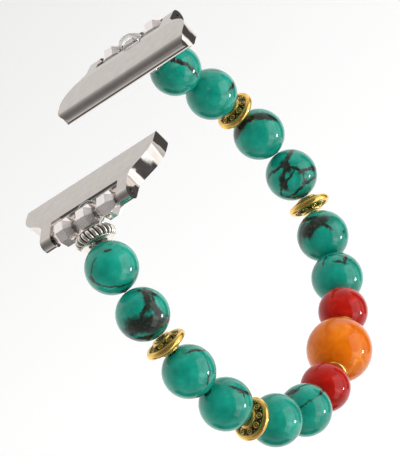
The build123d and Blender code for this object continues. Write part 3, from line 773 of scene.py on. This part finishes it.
def coil(name, node, start, reach_to, radius, wire, turns):
    """Wire of a spring from start to reach_to: p(t) = start + t travel + r (u cos a + v sin a).

    u and v are across the travel, and the angle a grows evenly with t.
    """
    travel = np.array(reach_to) - np.array(start)
    along = unit(travel)
    aside = unit(np.cross(along, (0.3, 1.0, 0.2)))
    upward = np.cross(along, aside)
    share = np.linspace(0, 1, int(turns * points_a_turn) + 1)
    angle = 2 * math.pi * turns * share
    outwards = np.outer(np.cos(angle), aside) + np.outer(np.sin(angle), upward)
    onwards = np.outer(-np.sin(angle), aside) + np.outer(np.cos(angle), upward)
    line = np.array(start) + np.outer(share, travel) + outwards * radius
    heading = onwards * 2 * math.pi * turns * radius + travel
    heading /= np.linalg.norm(heading, axis=1, keepdims=True)
    side = np.cross(heading, outwards)
    section = np.linspace(0, 2 * math.pi, points_round_wire, endpoint=False)
    # the first and the last ring shrink to a point, which closes the wire's ends
    width = np.r_[0, np.full(len(line) - 2, wire / 2), 0][:, None, None]
    rings = line[:, None] + width * (outwards[:, None] * np.cos(section)[None, :, None]
                                     + side[:, None] * np.sin(section)[None, :, None])
    # the grid's faces from the last ring back to the first are left out
    faces = grid_faces(len(line), len(section))[:(len(line) - 1) * len(section)]
    piece = surface_object(name, rings.reshape(-1, 3), faces, np.ones(len(line) * len(section)), drawn_steel)
    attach(piece, node.split("_")[0] + "_adapter")
    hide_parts(node)
    return piece


bar_wire, bar_turns, tip_travel = 0.14 * mm, 9, 1.7 * mm
lock_wire, lock_turns, button_travel = 0.2 * mm, 2, 0.6 * mm
coils = []
for end in ("near", "far"):
    node = f"{end}_bar_spring"
    low, high = box_of(node)
    middle, half_length = (low + high) / 2, (high - low)[0] / 2 - bar_wire / 2
    for hand, side in (("left", -1), ("right", 1)):
        half = coil(f"{end}_bar_coil_{hand}", node, middle, middle + np.array((side * half_length, 0, 0)),
                    (high - low)[1] / 2 - bar_wire / 2, bar_wire, bar_turns / 2)
        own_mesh(half)
        coils.append(half)
    node = f"{end}_lock_spring"
    low, high = box_of(node)
    middle = (low + high) / 2
    roof = np.array((middle[0], middle[1], high[2] - lock_wire / 2))
    foot = np.array((middle[0], middle[1], low[2] + lock_wire / 2))
    lock = coil(f"{end}_lock_coil", node, roof, foot,
                (high - low)[0] / 2 - lock_wire / 2, lock_wire, lock_turns)
    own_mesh(lock)
    coils.append(lock)
print("coils:", len(coils))


# %% [markdown]
# ## Light and floor
# A white tent with a few clear light sources: that is how small shiny goods are lit. The world holds
# the tent, a broad soft window over the band and one beside it, a narrow window low on its right and
# one small bright lamp, whose dot sits on every bead. Two black flags stand in the tent too: polished
# metal looks like metal only when it has something dark to reflect. A grey cloth behind the band does
# the same, more gently, for the flat tops of the slides. Three lamps add a key, a fill and a little
# light from the front. The floor is plain and pale, and it lies so far below the band that the string
# can swing or hang down clear of it.

# %% World
world = bpy.data.worlds.new("light_tent")
bpy.context.scene.world = world
world.use_nodes = True
sky = world.node_tree
sky.nodes.clear()
direction = add(sky, "ShaderNodeTexCoord", output="Generated")


def window(towards, half_width, half_height, up, softness):
    """A rectangle on the sky: 1 inside, falling to 0 over softness, all as slopes from its middle."""
    towards = unit(towards)
    side = unit(np.cross(up, towards))
    rise = np.cross(towards, side)
    forward = add(sky, "ShaderNodeVectorMath", {
        "operation": "DOT_PRODUCT", 0: direction, 1: tuple(towards)}, "Value")
    inside = add(sky, "ShaderNodeMapRange", {"Value": forward, "From Min": 0.0, "From Max": 0.05})
    depth = add(sky, "ShaderNodeMath", {"operation": "MAXIMUM", 0: forward, 1: 0.01})
    for axis, half in ((side, half_width), (rise, half_height)):
        along = add(sky, "ShaderNodeVectorMath", {
            "operation": "DOT_PRODUCT", 0: direction, 1: tuple(axis)}, "Value")
        along = add(sky, "ShaderNodeMath", {"operation": "ABSOLUTE", 0: along})
        slope = add(sky, "ShaderNodeMath", {"operation": "DIVIDE", 0: along, 1: depth})
        edge = add(sky, "ShaderNodeMapRange", {
            "Value": slope, "From Min": half + softness, "From Max": half,
            "interpolation_type": "SMOOTHSTEP"})
        inside = add(sky, "ShaderNodeMath", {"operation": "MULTIPLY", 0: inside, 1: edge})
    return inside


def seen_on_bead(right, up):
    """Where a light must stand to show at a place on a ball: the view turned back about the surface."""
    normal = on_bead(right, up)
    return normal * (2 * normal.dot(look_back)) - look_back


over = window(seen_on_bead(0.02, 0.52), 0.75, 0.34, look_up, 0.40)
beside = window(seen_on_bead(0.52, 0.16), 0.34, 0.60, look_up, 0.18)
low_right = window(seen_on_bead(0.46, -0.24), 0.20, 0.34, look_up, 0.05)
lamp = window(seen_on_bead(0.70, -0.05), 0.045, 0.06, look_up, 0.02)
# the tent itself is darkest behind the camera and brightest opposite
behind_camera = add(sky, "ShaderNodeVectorMath", {
    "operation": "DOT_PRODUCT", 0: direction, 1: tuple(look_back)}, "Value")
shade = add(sky, "ShaderNodeMapRange", {
    "Value": behind_camera, "From Min": -0.40, "From Max": 0.92, "To Min": 1.0, "To Max": 0.0})
shade = add(sky, "ShaderNodeMath", {"operation": "POWER", 0: shade, 1: 2.0})
light = add(sky, "ShaderNodeMath", {"operation": "MULTIPLY_ADD", 0: shade, 1: 1.12, 2: 0.08})
for glow, strength in ((over, 0.08), (beside, 1.32), (low_right, 1.2), (lamp, 40.0)):
    glow = add(sky, "ShaderNodeMath", {"operation": "MULTIPLY", 0: glow, 1: strength})
    light = add(sky, "ShaderNodeMath", {"operation": "ADD", 0: light, 1: glow})

flag_1 = window((0.50, 0.78, -0.37), 0.16, 0.60, look_up, 0.10)
flag_2 = window((-0.62, -0.20, -0.75), 0.14, 0.50, look_right, 0.22)
flags = add(sky, "ShaderNodeMath", {"operation": "MAXIMUM", 0: flag_1, 1: flag_2})
# a grey cloth far behind the band, high up: the flat tops of the slides mirror it, and the floor doesn't
cloth = window((-0.50, 0.78, 0.37), 0.25, 0.25, look_up, 0.60)
mirrored = add(sky, "ShaderNodeLightPath", output="Is Glossy Ray")
cloth = add(sky, "ShaderNodeMath", {"operation": "MULTIPLY", 0: cloth, 1: mirrored})
for screen, share in ((flags, 0.92), (cloth, 0.32)):
    screen = add(sky, "ShaderNodeMath", {"operation": "MULTIPLY", 0: screen, 1: share})
    passed = add(sky, "ShaderNodeMath", {"operation": "SUBTRACT", 0: 1.0, 1: screen})
    light = add(sky, "ShaderNodeMath", {"operation": "MULTIPLY", 0: light, 1: passed})
# the camera itself sees plain white
seen = add(sky, "ShaderNodeLightPath", output="Is Camera Ray")
light = add(sky, "ShaderNodeMix", {"data_type": "FLOAT", 0: seen, 2: light, 3: 1.0})
background = add(sky, "ShaderNodeBackground", {"Color": linear("#ffffff"), "Strength": light})
add(sky, "ShaderNodeOutputWorld", {"Surface": background})
print("nodes in the world:", len(sky.nodes))

# %% Floor
# a gap that opens, or the bar's swing, lets the string hang up to 12.5 mm lower than at rest
swing_room = 13.5 * mm
floor_height, floor_reach = cad_low[2] - swing_room, 3.0
floor_corners = [(-1, -1), (1, -1), (1, 1), (-1, 1)]
floor_mesh = bpy.data.meshes.new("floor")
floor_mesh.from_pydata([(x * floor_reach, y * floor_reach, floor_height) for x, y in floor_corners],
                       [], [(0, 1, 2, 3)])
floor = bpy.data.objects.new("floor", floor_mesh)
bpy.context.scene.collection.objects.link(floor)
floor_finish, tree = fresh_material("pale_card")
# fibres 0.7 mm long, coarser than a card's own, and hardly darker than the card
grain = add(tree, "ShaderNodeTexNoise", {"Vector": millimetres(tree), "Scale": 1.5, "Detail": 2.0})
paper = add(tree, "ShaderNodeValToRGB", {"Fac": grain, "stops": [
    (0.0, linear("#fcfcfb")), (1.0, linear("#ffffff"))]})
# seen directly or through the clear cord the card is a little paler, which puts no light on the band
seen = add(tree, "ShaderNodeLightPath", output="Is Camera Ray")
seen_through = add(tree, "ShaderNodeLightPath", output="Is Transmission Ray")
glow = add(tree, "ShaderNodeMath", {"operation": "ADD", 0: seen, 1: seen_through})
glow = add(tree, "ShaderNodeMath", {"operation": "MULTIPLY", 0: glow, 1: 0.08})
finish_material(tree, add(tree, "ShaderNodeBsdfPrincipled", {
    "Base Color": paper, "Roughness": 0.9, "Specular IOR Level": 0.1,
    "Emission Color": linear("#ffffff"), "Emission Strength": glow}))
floor_mesh.materials.append(floor_finish)
floor.visible_glossy = False
print("floor height:", round(floor_height, 5))

# %% Lamps
lamp_distance, lamp_size = 0.6, 0.40


def area_lamp(name, towards, power):
    """A square lamp that faces the band's middle from a direction."""
    data = bpy.data.lights.new(name, "AREA")
    data.size, data.energy = lamp_size, power
    lamp_object = bpy.data.objects.new(name, data)
    middle = (np.array(cad_low) + np.array(cad_high)) / 2
    back = unit(towards)
    side = unit(np.cross((0, 0, 1), back))
    rise = np.cross(back, side)
    turn = Matrix([[side[i], rise[i], back[i]] for i in range(3)])
    lamp_object.matrix_world = Matrix.Translation(Vector(middle + back * lamp_distance)) @ turn.to_4x4()
    lamp_object.visible_glossy = False
    bpy.context.scene.collection.objects.link(lamp_object)


area_lamp("key", look_back * 0.5 + look_up * 0.6 + look_right * 0.6, 3.6)
area_lamp("fill", look_back * 0.55 - look_right * 0.8, 1.5)
area_lamp("front", look_back - look_up * 0.3, 1.0)
bpy.context.scene.view_settings.view_transform = "Standard"
